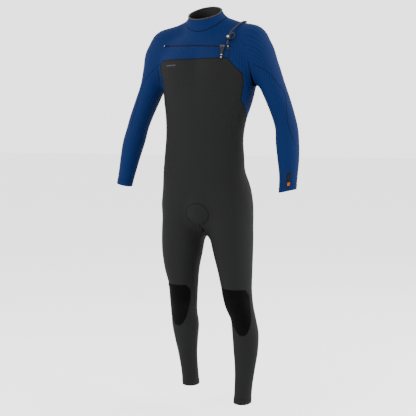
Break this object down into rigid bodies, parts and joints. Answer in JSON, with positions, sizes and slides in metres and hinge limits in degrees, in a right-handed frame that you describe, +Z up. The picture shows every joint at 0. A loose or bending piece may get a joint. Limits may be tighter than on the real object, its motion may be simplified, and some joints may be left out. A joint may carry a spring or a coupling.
{
  "type": "full wetsuit",
  "caption": "Full-length foam wetsuit with a front chest zip, drawcord at the neck, long sleeves, long legs and knee pads, standing in a wearer's shape.",
  "frame": {"origin": "on the centre line at the height of the tops of the shoulders, between them, where a wearer or a hanger holds the suit", "axes": "+X towards the wearer's left, -Y the front of the suit, +Z up"},
  "size_m": [0.7237, 0.2459, 1.4895],
  "materials": {
    "blue_fabric": "matte",
    "charcoal_fabric": "matte",
    "knee_rubber": "matte",
    "binding": "matte",
    "lining": "matte",
    "zip_tape": "matte",
    "zip_plastic": "matte",
    "metal": "satin",
    "webbing": "matte",
    "cord": "matte",
    "lock_plastic": "satin",
    "label": "matte",
    "print_grey": "matte"
  },
  "bodies": {
    "suit": {"collar": "blue_fabric", "collar_binding": "binding", "neck_seal": "lining", "neck_flap": "blue_fabric", "chest_band": "blue_fabric", "front_panel": "charcoal_fabric", "waist_panel": "charcoal_fabric", "cup_panel": "charcoal_fabric", "crotch_gusset": "charcoal_fabric", "back_yoke": "blue_fabric", "upper_back": "blue_fabric", "middle_back": "blue_fabric", "lower_back": "charcoal_fabric", "seat_panel": "charcoal_fabric", "side_panel_left": "blue_fabric", "side_panel_right": "blue_fabric", "shoulder_left": "blue_fabric", "shoulder_right": "blue_fabric", "sleeve_head_left": "blue_fabric", "sleeve_head_right": "blue_fabric", "hip_left": "charcoal_fabric", "hip_right": "charcoal_fabric", "zip_tape_upper": "zip_tape", "zip_tape_lower": "zip_tape", "zip_coils": "zip_plastic", "zip_end_stops": "metal", "zip_garage": "zip_plastic", "drawcord": "cord", "cord_anchor": "webbing", "chest_mark": "print_grey", "upper_sleeve_left": "blue_fabric", "elbow_left": "blue_fabric", "upper_sleeve_right": "blue_fabric", "elbow_right": "blue_fabric"},
    "lower_arm_left": {"forearm_left": "blue_fabric", "wrist_cuff_left": "blue_fabric", "wrist_tag": "label"},
    "upper_leg_left": {"thigh_left": "charcoal_fabric", "knee_left": "charcoal_fabric", "knee_pad_left": "knee_rubber"},
    "lower_leg_left": {"shin_left": "charcoal_fabric", "ankle_hem_left": "charcoal_fabric"},
    "lower_arm_right": {"forearm_right": "blue_fabric", "wrist_cuff_right": "blue_fabric"},
    "upper_leg_right": {"thigh_right": "charcoal_fabric", "knee_right": "charcoal_fabric", "knee_pad_right": "knee_rubber"},
    "lower_leg_right": {"shin_right": "charcoal_fabric", "ankle_hem_right": "charcoal_fabric"},
    "slider": {"zip_slider": "metal"},
    "pull": {"pull_ring": "metal", "pull_strap": "webbing"},
    "cord_lock": {"cord_lock_body": "lock_plastic", "cord_lock_spring": "metal"},
    "button": {"cord_lock_button": "metal"}
  },
  "joints": [
    {"name": "elbow_left", "type": "hinge", "parent": "suit", "child": "lower_arm_left", "pos_m": [0.307, 0.01, -0.385], "axis": [-0.9404, 0, -0.3401], "range_deg": [-10, 75], "deforming": ["elbow_left"]},
    {"name": "hip_left", "type": "hinge", "parent": "suit", "child": "upper_leg_left", "pos_m": [0.088, 0.005, -0.735], "axis": [-1, 0, 0], "range_deg": [-10, 45], "deforming": ["hip_left"]},
    {"name": "knee_left", "type": "hinge", "parent": "upper_leg_left", "child": "lower_leg_left", "pos_m": [0.157, -0.028, -1.095], "axis": [1, 0, 0], "range_deg": [-5, 75], "deforming": ["knee_left", "knee_pad_left"]},
    {"name": "elbow_right", "type": "hinge", "parent": "suit", "child": "lower_arm_right", "pos_m": [-0.296, -0.025, -0.385], "axis": [-0.9404, 0, 0.3401], "range_deg": [-10, 75], "deforming": ["elbow_right"]},
    {"name": "hip_right", "type": "hinge", "parent": "suit", "child": "upper_leg_right", "pos_m": [-0.088, 0.005, -0.735], "axis": [-1, 0, 0], "range_deg": [-10, 45], "deforming": ["hip_right"]},
    {"name": "knee_right", "type": "hinge", "parent": "upper_leg_right", "child": "lower_leg_right", "pos_m": [-0.0985, 0.003, -1.095], "axis": [1, 0, 0], "range_deg": [-5, 75], "deforming": ["knee_right", "knee_pad_right"]},
    {"name": "zip_travel", "type": "hinge", "parent": "suit", "child": "slider", "pos_m": [0.01, 0.301, -0.09], "axis": [0.0523, 0, 0.9986], "range_deg": [-34.5, 1.2]},
    {"name": "pull_swing", "type": "hinge", "parent": "slider", "child": "pull", "pos_m": [0.10123, -0.09469, -0.09478], "axis": [-0.973, -0.225, 0.051], "range_deg": [0, 130]},
    {"name": "lock_slide", "type": "slide", "parent": "suit", "child": "cord_lock", "axis": [0, 0.5547, 0.8321], "range_m": [-0.01, 0.01]},
    {"name": "button_press", "type": "slide", "parent": "cord_lock", "child": "button", "axis": [0, 0.8321, -0.5547], "range_m": [0, 0.002], "stiffness_N_per_m": 300, "springref_m": -0.001, "deforming": ["cord_lock_spring"]}
  ]
}
